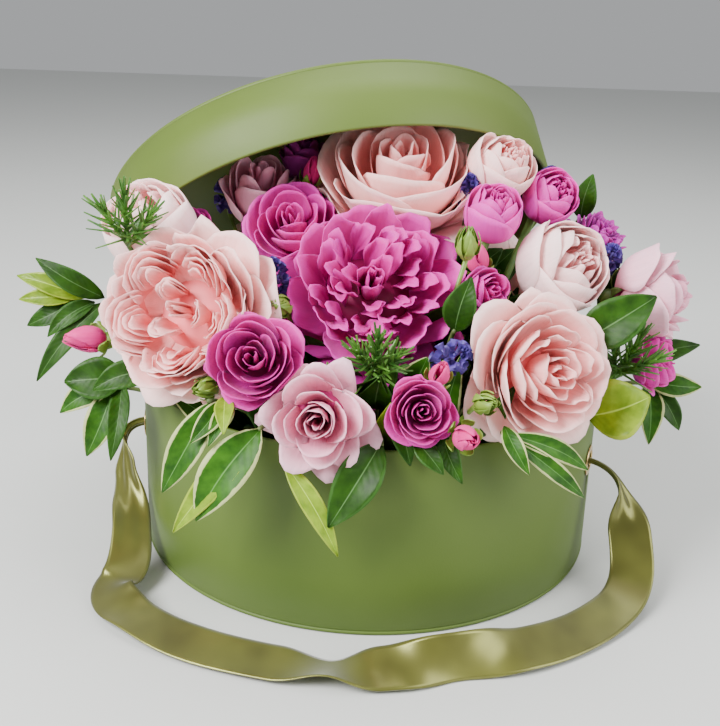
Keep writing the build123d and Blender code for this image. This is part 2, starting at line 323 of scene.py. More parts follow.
olive_paper = wrap_paper("olive_paper", (0.064, 0.108, 0.012), (0.080, 0.127, 0.016), 900, 7)
wall_low, wall_high = (Vector(c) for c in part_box("box_wall"))
BOX_R = 0.140
BOX_IN = 0.1375
PASTE_DOWN = 0.018
ROUND_STEPS = 192
SEAM_AT = -12.0
SEAM_HALF = 2.0
SEAM_LAP = 0.0018
rim = wall_high.z
foot = wall_low.z
wall = turned_profile(
    [
        (BOX_R - 0.0004, foot), (BOX_R, foot + 0.0006), (BOX_R, foot + 0.03), (BOX_R, rim - 0.03),
        (BOX_R, rim - 0.0009), (BOX_R - 0.0004, rim - 0.0003), (BOX_R - 0.00125, rim),
        (BOX_IN + 0.0004, rim - 0.0003), (BOX_IN, rim - 0.0009), (BOX_IN, rim - PASTE_DOWN),
        (BOX_IN + 0.0002, rim - PASTE_DOWN - 0.0002), (BOX_IN + 0.0002, foot),
    ],
    ROUND_STEPS,
)
for v in wall.verts:
    round_by = math.degrees(math.atan2(v.co.y, v.co.x))
    lap = max(0.0, 1 - abs(round_by - SEAM_AT) / SEAM_HALF)
    if v.co.xy.length > BOX_R - 0.0003:
        v.co.xy *= 1 + SEAM_LAP * lap
wall_piece = finish_piece("box_wall_paper", wall, "box", [olive_paper], ["box_wall"])
HOLE_R = 0.0065
holes = bmesh.new()
for eyelet in ("eyelet_left", "eyelet_right"):
    middle, out = eyelet_place(eyelet)
    bmesh.ops.create_cone(
        holes,
        cap_ends=True,
        segments=32,
        radius1=HOLE_R,
        radius2=HOLE_R,
        depth=0.02,
        matrix=Matrix.Translation(middle) @ facing(out),
    )
hole_mesh = bpy.data.meshes.new("punch")
holes.to_mesh(hole_mesh)
holes.free()
punch = bpy.data.objects.new("punch", hole_mesh)
bpy.context.scene.collection.objects.link(punch)
cut = wall_piece.modifiers.new("eyelet_holes", "BOOLEAN")
cut.operation = "DIFFERENCE"
cut.object = punch
bpy.context.view_layer.update()
punched = bpy.data.meshes.new_from_object(
    wall_piece.evaluated_get(bpy.context.evaluated_depsgraph_get())
)
wall_piece.modifiers.clear()
wall_piece.data = punched
bpy.data.objects.remove(punch)

base_low, base_high = (Vector(c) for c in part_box("box_base"))
thick = base_high.z - base_low.z
base = turned_profile(
    [
        (0.0, base_low.z), (0.134, base_low.z), (BOX_R - 0.0006, base_low.z),
        (BOX_R, base_low.z + 0.0006), (BOX_R + 0.0003, base_low.z + thick * 0.5),
        (BOX_R, base_high.z - 0.0002), (BOX_R - 0.001, base_high.z), (0.0, base_high.z),
    ],
    ROUND_STEPS,
)
finish_piece("box_base_board", base, "box", [olive_paper], ["box_base"])

# The eyelets: a rolled brass ring each side, punched through the wall a little under the rim,
# with a washer pressed on inside.
def mottled_skin(name, rough, stops, cloud, grain, relief, grain_kind="TexNoise"):
    skin, shader, join = new_material(name, rough)
    where, clouds, grains, colour, bump = add_nodes(
        skin, "TexCoord", "TexNoise", grain_kind, "ValToRGB", "Bump"
    )
    set_inputs(clouds, Scale=cloud[0], Detail=cloud[1])
    set_inputs(grains, Scale=grain[0], Detail=grain[1])
    ramp_of(colour, *stops)
    set_inputs(bump, Strength=relief[0], Distance=relief[1])
    join(
        (where, "Object", clouds, "Vector"),
        (where, "Object", grains, "Vector"),
        (clouds, "Fac", colour, "Fac"),
        (colour, "Color", shader, "Base Color"),
        (grains, 0, bump, "Height"),
        (bump, "Normal", shader, "Normal"),
    )
    return skin


brass_stops = ((0.3, (0.50, 0.34, 0.13)), (0.7, (0.72, 0.54, 0.25)))
brass = mottled_skin("eyelet_brass", 0.24, brass_stops, (220, 5), (220, 5), (0.08, 0.0002))
set_inputs(brass.node_tree.nodes["Principled BSDF"], Metallic=1)
RING_OUTLINE = [
    (0.0057, -0.0022), (0.0061, -0.00235), (0.0092, -0.0022), (0.0093, -0.0015),
    (0.0064, -0.0015), (0.0064, 0.0015), (0.0092, 0.0015), (0.0094, 0.0019), (0.0088, 0.0023),
    (0.0072, 0.0026), (0.0062, 0.0024), (0.0057, 0.0018),
]
WALL_MIDDLE = 0.1386
for eyelet in ("eyelet_left", "eyelet_right"):
    middle, out = eyelet_place(eyelet)
    ring = turned_profile(RING_OUTLINE, 40)
    ring.transform(Matrix.Translation(out * WALL_MIDDLE + Vector((0, 0, middle.z))) @ facing(out))
    finish_piece(eyelet + "_ring", ring, "box", [brass], [eyelet])

# The lid: a shallow board drum covered in a lighter green paper, tipped back on the rear blooms.
# The paper is turned over the mouth of the band and over the edge of the disc.
pale_paper = wrap_paper("lid_paper", (0.079, 0.122, 0.015), (0.092, 0.138, 0.019), 800, 9)


def node_points(name):
    shape = bmesh.new()
    shape.from_mesh(frame["nodes"][name].data)
    bmesh.ops.remove_doubles(shape, verts=shape.verts, dist=1e-6)
    found = []
    seen = set()
    for start in shape.verts:
        if start in seen:
            continue
        seen.add(start)
        queue = [start]
        patch = []
        while queue:
            v = queue.pop()
            patch.append(v.co.copy())
            for e in v.link_edges:
                other = e.other_vert(v)
                if other not in seen:
                    seen.add(other)
                    queue.append(other)
        found.append(patch)
    shape.free()
    return found


lid_axis = Vector(next(j["axis"] for j in frame["joints"] if j["name"] == "lid_lift")).normalized()
band_points = node_points("lid_band")[0]
levels = [p.dot(lid_axis) for p in band_points]
mouth = sum(band_points, Vector()) / len(band_points)
mouth += lid_axis * (min(levels) - mouth.dot(lid_axis))
tall = max(levels) - min(levels)
reaches = [((p - mouth) - lid_axis * (p - mouth).dot(lid_axis)).length for p in band_points]
LID_OUT = max(reaches)
LID_IN = min(reaches)
LID_BOARD = 0.0025
lid_seat = Matrix.Translation(mouth) @ facing(lid_axis)
band = turned_profile(
    [
        (LID_IN, 0.0009),
        (LID_IN + 0.0004, 0.0003),
        ((LID_IN + LID_OUT) / 2, 0.0),
        (LID_OUT - 0.0004, 0.0003), (LID_OUT, 0.0009), (LID_OUT, tall * 0.5), (LID_OUT, tall),
        (LID_IN, tall), (LID_IN, 0.014), (LID_IN - 0.0002, 0.0138),
    ],
    ROUND_STEPS,
)
band.transform(lid_seat)
finish_piece("lid_band_paper", band, "lid", [pale_paper], ["lid_band"])
lid_top = tall + LID_BOARD
disc = turned_profile(
    [
        (0.0, tall), (LID_OUT - 0.0003, tall), (LID_OUT, tall + 0.0004),
        (LID_OUT, lid_top - 0.0008), (LID_OUT - 0.0008, lid_top), (LID_OUT - 0.004, lid_top),
        (0.0, lid_top),
    ],
    ROUND_STEPS,
)
disc.transform(lid_seat)
finish_piece("lid_disc_paper", disc, "lid", [pale_paper], ["lid_top"])

# The liner and foam: a black plastic tray that keeps the board dry, and a block of soaked green
# floral foam with a chamfered top that every stem is pushed into.
tray_plastic, shader, join = new_material("tray_plastic", 0.42)
where, grain, bump = add_nodes(tray_plastic, "TexCoord", "TexNoise", "Bump")
set_inputs(shader, Base_Color=(0.012, 0.014, 0.012, 1))
set_inputs(grain, Scale=600)
set_inputs(bump, Strength=0.1, Distance=0.0002)
join(
    (where, "Object", grain, "Vector"),
    (grain, "Fac", bump, "Height"),
    (bump, "Normal", shader, "Normal"),
)
tray_low, tray_high = (Vector(c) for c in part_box("liner"))
tray_r = (tray_high.x - tray_low.x) / 2
tray = turned_profile(
    [
        (0.0, tray_low.z), (tray_r - 0.003, tray_low.z), (tray_r - 0.0008, tray_low.z + 0.001),
        (tray_r, tray_low.z + 0.004), (tray_r, tray_high.z - 0.003),
        (tray_r + 0.0012, tray_high.z - 0.002), (tray_r + 0.0012, tray_high.z - 0.0006),
        (tray_r - 0.0006, tray_high.z), (tray_r - 0.0015, tray_high.z - 0.001),
        (tray_r - 0.0015, tray_low.z + 0.0015), (0.0, tray_low.z + 0.0015),
    ],
    128,
)
finish_piece("liner_tray", tray, "insert", [tray_plastic], ["liner"])

foam_stops = ((0.35, (0.010, 0.035, 0.012)), (0.7, (0.022, 0.065, 0.022)))
foam_skin = mottled_skin(
    "wet_foam", 0.7, foam_stops, (22, 2), (900, 0), (0.7, 0.0006), "TexVoronoi"
)
foam_low, foam_high = (Vector(c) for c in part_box("foam"))
foam_r = (foam_high.x - foam_low.x) / 2
foam_block = turned_profile(
    [
        (0.0, foam_low.z), (foam_r, foam_low.z), (foam_r, foam_high.z - 0.012),
        (foam_r - 0.006, foam_high.z - 0.0055), (foam_r - 0.012, foam_high.z),
        (foam_r * 0.5, foam_high.z + 0.0002), (0.0, foam_high.z),
    ],
    96,
)
finish_piece("foam_block", foam_block, "insert", [foam_skin], ["foam"])

# The roses and other large blooms: each is one cut flower, a head of thin petals on a green
# calyx, with a stem pushed into the foam. Every petal is a small curved sheet; the rings of
# petals are listed from the outside in, in shares of the head's radius and height.
STEM_REACH = 0.075


def bloom_seats(name):
    patches = node_points(name)
    stems = [p for p in patches if min(v.z for v in p) < STEM_REACH]
    heads = [p for p in patches if min(v.z for v in p) >= STEM_REACH]
    seats = []
    for head in heads:
        middle = sum(head, Vector()) / len(head)
        top = min((v for stem in stems for v in stem), key=lambda v: (v - middle).length)
        stem = next(s for s in stems if top in s)
        near = sorted(stem, key=lambda v: (v - middle).length)[:8]
        seat = sum(near, Vector()) / len(near)
        low = sorted(stem, key=lambda v: v.z)[:8]
        foot = sum(low, Vector()) / len(low)
        low_z = min((v - seat).dot((middle - seat).normalized()) for v in head)
        way = (middle - seat).normalized()
        seat += way * low_z
        high = max((v - seat).dot(way) for v in head)
        wide = max(((v - seat) - way * (v - seat).dot(way)).length for v in head)
        seats.append((seat, way, wide, high, foot))
    return seats


def start_bloom():
    shape = bmesh.new()
    shape.loops.layers.uv.new("UVMap")
    shape.verts.layers.float.new("depth")
    shape.verts.layers.float.new("tone")
    return shape


def set_slot(verts, slot):
    for face in {f for v in verts for f in v.link_faces}:
        face.material_index = slot


def add_sheet(shape, cells_u, cells_v, depth, tone, slot=0):
    made = bmesh.ops.create_grid(
        shape, x_segments=cells_u, y_segments=cells_v, size=1, calc_uvs=True
    )["verts"]
    deep = shape.verts.layers.float["depth"]
    hue = shape.verts.layers.float["tone"]
    for v in made:
        v[deep] = depth
        v[hue] = tone
    set_slot(made, slot)
    return made


def add_knob(shape, up, wide, tall, sides, rows, slot):
    place = Matrix.Translation((0, 0, up)) @ Matrix.Diagonal((wide, wide, tall, 1))
    made = bmesh.ops.create_uvsphere(
        shape, u_segments=sides, v_segments=rows, radius=1, matrix=place
    )
    set_slot(made["verts"], slot)


def add_rod(shape, start, end, radius, tip_radius=None, slot=1):
    run = end - start
    made = bmesh.ops.create_cone(
        shape,
        cap_ends=True,
        segments=8,
        radius1=radius,
        radius2=radius if tip_radius is None else tip_radius,
        depth=run.length,
        matrix=Matrix.Translation((start + end) / 2) @ facing(run),
    )
    set_slot(made["verts"], slot)


# Each petal of a spiral sits this far round from the last, in radians, as on the real plant.
GOLDEN_TURN = 2.4
SEPALS = 5


# A head is the mesh that it grows in, its random draws and its size (radius, height).
# A petal's foot, belly and tip are points (radius, height) of the curve that it bends along, in
# shares of the head's radius and height, and half is half of the angle that it covers, in degrees.
def add_petal(head, turn, half, foot, belly, tip, extra=None, middle=(0, 0, 0)):
    facts = dict(
        roll=0.0, frill=0.0, wrap=0.0, point=0.0, drop=0.0, round=0.3, depth=1.0, fine=9, slot=0
    )
    facts.update(extra or {})
    shape, dice, (radius, height) = head
    across = facts["fine"] + (3 if facts["frill"] > 0.02 else 0)
    made = add_sheet(shape, across, facts["fine"], facts["depth"], dice.uniform(-1, 1), facts["slot"])
    phase = dice.uniform(0, 6.28)
    lift = dice.uniform(-0.04, 0.04)
    skew = dice.uniform(-0.05, 0.05)
    half = math.radians(half)
    for v in made:
        u = v.co.x
        t = (v.co.y + 1) / 2
        s = t * (1 - (facts["round"] + 0.2 * facts["point"]) * abs(u) ** (2.4 - facts["point"]) * t)
        spread = half * (0.35 + 0.65 * math.sin(min(1.0, s * 1.3) * math.pi / 2))
        spread *= 1 - 0.28 * max(0.0, (t - 0.55) / 0.45) ** 2
        a = 1 - s
        r = a * a * foot[0] + 2 * a * s * belly[0] + s * s * tip[0]
        h = a * a * foot[1] + 2 * a * s * belly[1] + s * s * (tip[1] + lift)
        k = max(0.0, s - 0.6) / 0.4
        r += facts["roll"] * k * k
        h -= abs(facts["roll"]) * 0.75 * k**3
        r += (facts["wrap"] + skew) * u * s + facts["drop"] * 0.4 * u * u * s * s
        h -= facts["drop"] * u * u * s * s
        r += 0.014 * s * math.sin(6 * u + 5 * s + phase)
        wave = math.sin(4.3 * u + phase) + 0.6 * math.sin(9.7 * u + 1.7 * phase)
        r += facts["frill"] * s * s * wave
        h += facts["frill"] * s * s * wave * 0.5
        angle = turn + u * spread
        v.co = (
            middle[0] * radius + r * radius * math.cos(angle),
            middle[1] * radius + r * radius * math.sin(angle),
            middle[2] * height + h * height,
        )


def add_ring(head, count, half, foot, belly, tip, **extra):
    dice = head[1]
    start = dice.uniform(0, 6.28)
    for i in range(count):
        turn = start + 2 * math.pi * (i + dice.uniform(-0.2, 0.2)) / count
        grow = 1 + dice.uniform(-0.06, 0.06)
        reach = half * (1 + dice.uniform(-0.12, 0.12))
        wide_belly = (belly[0] * grow, belly[1])
        wide_tip = (tip[0] * grow, tip[1])
        add_petal(head, turn, reach, foot, wide_belly, wide_tip, extra)


def add_spiral(head, count, reach, top, half=85, **extra):
    turn = head[1].uniform(0, 6.28)
    for i in range(count):
        left = 1 - i / count
        r = reach * (0.12 + 0.88 * left)
        facts = dict(wrap=0.07 * reach, roll=0.10 * r, depth=0.1 + 0.3 * left, fine=8)
        facts.update(extra)
        belly = (r * 1.15, top * 0.6)
        tip = (r * 0.82, top + 0.05 * (1 - left))
        add_petal(head, turn, half, (r * 0.4, 0.2), belly, tip, facts)
        turn += GOLDEN_TURN


def add_quarters(head, groups, reach, top, layers=5):
    dice = head[1]
    start = dice.uniform(0, 6.28)
    for g in range(groups):
        out = start + 2 * math.pi * g / groups
        heart = (reach * math.cos(out), reach * math.sin(out), 0)
        for k in range(layers):
            r = reach * (1.0 - 0.17 * k)
            turn = out + dice.uniform(-0.25, 0.25)
            belly = (r * 1.2, top * 0.65)
            tip = (r * 0.92, top - 0.02 * k)
            facts = dict(roll=0.06, frill=0.012, depth=0.32 - 0.05 * k, fine=7)
            add_petal(head, turn, 88 - 4 * k, (r * 0.5, 0.3), belly, tip, facts, heart)


def add_calyx(head):
    shape, dice, size = head
    knob = 0.17 * size[0] + 0.0015
    add_knob(shape, -0.08 * size[1], knob, 0.14 * size[1], 12, 8, 1)
    facts = dict(point=1.0, slot=1, fine=5)
    for i in range(SEPALS):
        turn = 2 * math.pi * (i + dice.uniform(-0.1, 0.1)) / SEPALS
        add_petal(head, turn, 16, (0.08, 0.0), (0.525, -0.1), (0.675, 0.17), facts)


NEIGHBOURS = []
for node in frame["nodes"]:
    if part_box(node)[1][2] > 0.12 and not node.startswith(("sprig", "leaf", "lid", "rosemary")):
        for seat, way, wide, high, _ in bloom_seats(node):
            NEIGHBOURS.append((seat + way * high * 0.5, wide))


def press_apart(shape, middle, wide):
    for other, reach in NEIGHBOURS:
        line = other - middle
        gap = line.length
        if gap < 0.001 or gap > 1.4 * (wide + reach):
            continue
        line.normalize()
        stop = gap * wide / (wide + reach)
        for v in shape.verts:
            past = (v.co - middle).dot(line) - stop
            if past > 0:
                near = 1.5 - (v.co - other).length / reach
                v.co -= line * past * min(1.0, max(0.0, near / 0.35))


def plant(shape, seat, way, foot, stem_r, wide=0.0, high=0.0):
    settled = Matrix.Translation(seat) @ facing(way)
    bmesh.ops.transform(shape, matrix=settled, verts=shape.verts)
    if wide:
        press_apart(shape, seat + way * high * 0.5, wide)
    neck = seat - way * 0.003
    add_rod(shape, seat + way * 0.002, neck, stem_r)
    add_rod(shape, neck, foot, stem_r)


def add_math(material, operation, second=0.5, third=0.5):
    (node,) = add_nodes(material, "Math")
    node.operation = operation
    node.inputs[1].default_value = second
    node.inputs[2].default_value = third
    return node


def petal_skin(name, heart, middle, edge):
    petal, shader, join = new_material(name, 0.5)
    where, split, fan, veins, cloud, deep, hue = add_nodes(
        petal, "TexCoord", "SeparateXYZ", "Mapping", "TexNoise", "TexNoise", "Attribute", "Attribute"
    )
    spread, reach, tint, bump = add_nodes(petal, "MapRange", "ValToRGB", "HueSaturation", "Bump")
    inner = add_math(petal, "MULTIPLY_ADD", 0.5)
    lift = add_math(petal, "MULTIPLY_ADD", 0.42)
    crease = add_math(petal, "MULTIPLY_ADD", 1.1)
    scatter = add_math(petal, "MULTIPLY_ADD", 0.05, 0.90)
    value = add_math(petal, "MULTIPLY_ADD", 0.26)
    deep.attribute_name = "depth"
    hue.attribute_name = "tone"
    set_inputs(fan, Scale=(26, 2.2, 1))
    set_inputs(veins, Scale=1.0, Detail=4)
    set_inputs(cloud, Scale=70, Detail=3)
    set_inputs(spread, To_Min=-0.12, To_Max=0.16)
    ramp_of(reach, (0.05, heart), (0.45, middle), (0.95, edge))
    set_inputs(bump, Strength=0.5, Distance=0.0007)
    set_inputs(shader, Subsurface_Weight=0.25, Subsurface_Radius=(0.006, 0.003, 0.003))
    set_inputs(shader, Subsurface_Scale=0.6, Sheen_Weight=0.06, Specular_IOR_Level=0.2)
    join(
        (where, "UV", split, "Vector"),
        (where, "UV", fan, "Vector"),
        (where, "Object", cloud, "Vector"),
        (fan, "Vector", veins, "Vector"),
        (cloud, "Fac", spread, "Value"),
        (deep, "Fac", inner, 0),
        (spread, "Result", inner, 2),
        (split, "Y", lift, 0),
        (inner, "Value", lift, 2),
        (lift, "Value", reach, "Fac"),
        (hue, "Fac", scatter, 0),
        (veins, "Fac", value, 0),
        (scatter, "Value", value, 2),
        (reach, "Color", tint, "Color"),
        (value, "Value", tint, "Value"),
        (tint, "Color", shader, "Base Color"),
        (cloud, "Fac", crease, 0),
        (veins, "Fac", crease, 2),
        (crease, "Value", bump, "Height"),
        (bump, "Normal", shader, "Normal"),
    )
    return petal


def green_skin(name, dark, light, rough=0.45):
    stops = ((0.32, dark), (0.68, light))
    return mottled_skin(name, rough, stops, (90, 4), (700, 2), (0.2, 0.0003))


calyx_green = green_skin("calyx_green", (0.05, 0.13, 0.02), (0.16, 0.28, 0.05))
blush = petal_skin("blush_petal", (0.92, 0.22, 0.24), (0.96, 0.42, 0.41), (0.97, 0.62, 0.59))
pale_blush = petal_skin("pale_blush_petal", (0.88, 0.20, 0.26), (0.95, 0.48, 0.48), (0.97, 0.68, 0.67))
magenta = petal_skin("magenta_petal", (0.22, 0.001, 0.06), (0.56, 0.007, 0.27), (0.72, 0.042, 0.43))
deep_magenta = petal_skin("deep_magenta", (0.11, 0.0005, 0.04), (0.42, 0.005, 0.20), (0.62, 0.028, 0.34))
purple = petal_skin("purple_petal", (0.10, 0.002, 0.07), (0.31, 0.010, 0.23), (0.44, 0.038, 0.36))
lilac = petal_skin("lilac_petal", (0.42, 0.03, 0.16), (0.77, 0.28, 0.41), (0.87, 0.48, 0.57))
PETAL = 0.0004


# Each row of a form is one ring of petals: how many, half the angle that one covers, the height
# of its foot, where its belly and its lip come (radius, height), and how the lip is shaped.
QUARTERED = (
    (5, 50, 0.02, (0.85, -0.1), (1.1, 0.36), dict(roll=0.16, frill=0.024, point=0.3)),
    (5, 48, 0.04, (0.86, 0.0), (1.03, 0.56), dict(roll=0.14, frill=0.022, depth=0.95)),
    (6, 42, 0.06, (0.86, 0.1), (0.94, 0.74), dict(roll=0.10, frill=0.02, depth=0.85)),
    (7, 38, 0.1, (0.84, 0.2), (0.85, 0.86), dict(roll=0.07, frill=0.02, depth=0.72)),
    (8, 34, 0.15, (0.78, 0.3), (0.76, 0.93), dict(roll=0.05, frill=0.02, depth=0.58)),
)
SWIRLED = (
    (5, 52, 0.02, (0.9, -0.1), (1.06, 0.36), dict(roll=0.22, frill=0.02, point=0.5)),
    (5, 50, 0.04, (0.92, 0.02), (0.98, 0.60), dict(roll=0.20, frill=0.02, wrap=0.05, depth=0.95)),
    (5, 54, 0.06, (0.88, 0.14), (0.86, 0.78), dict(roll=0.14, frill=0.015, wrap=0.07, depth=0.82)),
    (5, 56, 0.1, (0.80, 0.25), (0.74, 0.88), dict(roll=0.09, frill=0.015, wrap=0.07, depth=0.66)),
    (6, 44, 0.15, (0.68, 0.35), (0.60, 0.94), dict(roll=0.05, frill=0.015, depth=0.5)),
    (6, 40, 0.2, (0.54, 0.45), (0.46, 0.95), dict(roll=0.03, frill=0.02, depth=0.34)),
)
GOBLET = (
    (5, 62, 0.0, (0.95, -0.05), (1.12, 0.46), dict(roll=0.30, round=0.14, frill=0.02, wrap=0.04)),
    (5, 64, 0.03, (1.10, 0.04), (0.98, 0.85), dict(roll=0.20, round=0.12, wrap=0.07, depth=0.95)),
    (4, 70, 0.06, (1.02, 0.2), (0.80, 0.96), dict(roll=0.13, round=0.12, wrap=0.09, depth=0.8)),
    (4, 70, 0.1, (0.84, 0.35), (0.62, 0.99), dict(roll=0.08, round=0.14, wrap=0.08, depth=0.6)),
)
RUFFLED = (
    (7, 40, 0.02, (0.9, -0.1), (1.1, 0.24), dict(roll=0.16, frill=0.035)),
    (8, 36, 0.05, (0.86, 0.0), (1.0, 0.50), dict(roll=0.14, frill=0.035, depth=0.95)),
    (8, 34, 0.08, (0.82, 0.1), (0.88, 0.74), dict(roll=0.10, frill=0.035, depth=0.8)),
    (8, 32, 0.12, (0.74, 0.2), (0.74, 0.90), dict(roll=0.06, frill=0.035, depth=0.65)),
)
SCROLLED = (
    (5, 50, 0.0, (0.92, -0.1), (0.98, 0.52), dict(roll=0.30, point=1.0, drop=0.20)),
    (5, 50, 0.05, (0.88, 0.05), (0.84, 0.74), dict(roll=0.26, point=0.8, drop=0.12, depth=0.9)),
    (4, 60, 0.1, (0.76, 0.2), (0.66, 0.88), dict(roll=0.18, point=0.4, depth=0.75)),
    (4, 62, 0.15, (0.60, 0.4), (0.50, 0.96), dict(roll=0.10, depth=0.5)),
)
GLOBE = (
    (4, 72, 0.0, (1.26, 0.04), (0.80, 0.86), dict(roll=0.06, round=0.12, frill=0.012)),
    (4, 72, 0.02, (1.18, 0.2), (0.58, 0.97), dict(roll=0.02, round=0.14, frill=0.012, depth=0.95)),
    (4, 70, 0.05, (1.04, 0.3), (0.42, 1.01), dict(round=0.16, frill=0.02, depth=0.78)),
    (6, 46, 0.1, (0.80, 0.4), (0.30, 1.0), dict(frill=0.03, depth=0.4)),
)
CUPPED = (
    (5, 54, 0.0, (1.0, -0.04), (1.04, 0.56), dict(roll=0.18, frill=0.02, round=0.24)),
    (5, 54, 0.05, (0.98, 0.08), (0.88, 0.82), dict(roll=0.12, frill=0.012, round=0.2, wrap=0.06, depth=0.85)),
    (4, 66, 0.1, (0.86, 0.25), (0.72, 0.93), dict(roll=0.07, round=0.2, wrap=0.08, depth=0.66)),
    (4, 66, 0.15, (0.66, 0.4), (0.54, 0.95), dict(roll=0.05, round=0.2, wrap=0.08, depth=0.48)),
)
TALL = (
    (4, 62, 0.0, (1.22, 0.1), (0.94, 0.82), dict(roll=0.20, round=0.24, frill=0.03, wrap=0.06)),
    (4, 64, 0.04, (1.10, 0.2), (0.76, 0.94), dict(roll=0.15, round=0.22, frill=0.02, wrap=0.08, depth=0.85)),
    (4, 60, 0.1, (0.90, 0.35), (0.58, 0.99), dict(roll=0.08, depth=0.6)),
)


def add_rings(head, rows):
    for count, half, base, belly, tip, facts in rows:
        add_ring(head, count, half, (0.1, base), belly, tip, **facts)


def quartered_rose(head):
    add_rings(head, QUARTERED)
    add_quarters(head, 5, 0.40, 0.93)
    add_quarters(head, 3, 0.17, 0.88, 3)
    add_spiral(head, 4, 0.10, 0.82)


INNER_PETALS = 34


def ruffled_bloom(head):
    add_rings(head, RUFFLED)
    dice = head[1]
    for i in range(INNER_PETALS):
        out = GOLDEN_TURN * i
        far = 0.54 * math.sqrt((i + 0.2) / INNER_PETALS)
        heart = (far * math.cos(out), far * math.sin(out), 0)
        tip = (0.19, 0.97 - 0.2 * far + dice.uniform(-0.06, 0.06))
        facts = dict(frill=0.028, roll=0.07, depth=0.1 + 0.9 * far, fine=7)
        turn = out + dice.uniform(-1.6, 1.6)
        add_petal(head, turn, 62, (-0.04, 0.25), (0.15, 0.55), tip, facts, heart)
    add_spiral(head, 6, 0.16, 0.88, 90, frill=0.02)


# The other forms are rings round one spiral: its petals, reach, height and half angle.
def ringed_form(rows, *spiral, **facts):
    def form(head):
        add_rings(head, rows)
        add_spiral(head, *spiral, **facts)

    return form


swirled_rose = ringed_form(SWIRLED, 9, 0.36, 0.94, 80, frill=0.015)
goblet_rose = ringed_form(GOBLET, 9, 0.48, 0.97, 100)
scrolled_rose = ringed_form(SCROLLED, 8, 0.38, 1.0, 100)
globe_bloom = ringed_form(GLOBE, 10, 0.24, 0.97, 70, frill=0.03, fine=7)
cup_rose = ringed_form(CUPPED, 7, 0.40, 0.90, 80, fine=7)
tall_cup = ringed_form(TALL, 6, 0.42, 0.97, 95)

# Each bloom: its form, its skin, and its petals' reach in shares of the CAD head's radius.
BLOOMS = {
    "rose_left": (quartered_rose, blush, 1.12),
    "rose_right": (swirled_rose, blush, 1.12),
    "rose_top": (goblet_rose, blush, 1.12),
    "peony_centre": (ruffled_bloom, magenta, 1.12),
    "globe_right": (globe_bloom, pale_blush, 1.1),
    "globe_left": (globe_bloom, pale_blush, 1.08),
    "globe_back_right": (globe_bloom, blush, 1.1),
    "rose_lilac": (scrolled_rose, lilac, 1.15),
    "rose_back_left": (tall_cup, lilac, 1.12),
    "rose_mauve": (tall_cup, lilac, 1.15),
    "spray_front_left": (cup_rose, deep_magenta, 1.14),
    "spray_upper_left": (cup_rose, magenta, 1.14),
    "spray_front": (cup_rose, deep_magenta, 1.14),
    "spray_back_right": (globe_bloom, magenta, 1.12),
    "spray_far_right": (globe_bloom, magenta, 1.12),
    "spray_low_right": (cup_rose, magenta, 1.14),
    "spray_small_left": (cup_rose, deep_magenta, 1.14),
    "spray_inner_right": (cup_rose, magenta, 1.14),
    "carnation_right": (ruffled_bloom, purple, 1.12),
    "tulip_back": (tall_cup, purple, 1.1),
    "rose_rear_left": (quartered_rose, blush, 1.0),
    "rose_rear_mid": (swirled_rose, blush, 1.0),
    "rose_rear_right": (goblet_rose, pale_blush, 1.0),
    "rose_side_left": (swirled_rose, pale_blush, 1.04),
    "rose_side_right": (swirled_rose, blush, 1.04),
    "rose_crown_rear": (ruffled_bloom, blush, 1.04),
}
for order, (name, (form, skin, swell)) in enumerate(BLOOMS.items()):
    seat, way, wide, high, foot = bloom_seats(name)[0]
    bloom = start_bloom()
    head = (bloom, random.Random(40 + order), (wide * swell, high))
    form(head)
    add_knob(bloom, 0.18 * high, 0.5 * wide * swell, 0.2 * high, 16, 8, 0)
    add_calyx(head)
    plant(bloom, seat, way, foot, 0.002, wide, high)
    slot = "magenta_petal"
    if skin in (blush, pale_blush):
        slot = "blush_petal"
    elif skin == lilac:
        slot = "lilac_petal"
    finish_piece(name + "_bloom", bloom, "insert", [skin, calyx_green], [name], PETAL)

# Rosebuds: tight buds still wrapped in their sepals, each on its own short stem in the foam.
bud_pink = petal_skin("bud_pink", (0.42, 0.002, 0.07), (0.66, 0.008, 0.17), (0.82, 0.035, 0.26))
bud_calyx = green_skin("bud_calyx", (0.11, 0.22, 0.02), (0.25, 0.38, 0.05))


def wrapped_bud(shape, dice, size, cover):
    head = (shape, dice, size)
    facts = dict(wrap=0.08, fine=7)
    add_ring(head, 3, 70, (0.1, 0.0), (1.25, 0.2), (0.30, 0.98), depth=0.9, **facts)
    add_ring(head, 3, 70, (0.1, 0.1), (1.1, 0.3), (0.18, 1.02), depth=0.6, **facts)
    add_spiral(head, 4, 0.22, 1.0, 90, fine=5)
    facts = dict(point=1.0, roll=0.25 * (1 - cover), slot=1, fine=6)
    tip = (1.0 - 0.4 * cover, 0.35 + 0.55 * cover)
    for i in range(SEPALS):
        turn = 2 * math.pi * (i + dice.uniform(-0.12, 0.12)) / SEPALS
        add_petal(head, turn, 30, (0.12, -0.02), (1.42, 0.05), tip, facts)
    add_knob(shape, -0.02 * size[1], 0.5 * size[0], 0.16 * size[1], 10, 6, 1)


BUDS = {"bud_right": 0.2, "bud_back": 0.5, "bud_left": 0.25, "bud_low_right": 0.35, "bud_front": 0.3}
for order, (name, cover) in enumerate(BUDS.items()):
    seat, way, wide, high, foot = bloom_seats(name)[0]
    bud = start_bloom()
    wrapped_bud(bud, random.Random(80 + order), (wide * 1.1, high), cover)
    plant(bud, seat, way, foot, 0.0013, wide, high)
    finish_piece(name + "_bloom", bud, "insert", [bud_pink, bud_calyx], [name], 0.0003)


def join_cluster(cluster, one):
    part = bpy.data.meshes.new("part")
    one.to_mesh(part)
    one.free()
    cluster.from_mesh(part)
    bpy.data.meshes.remove(part)


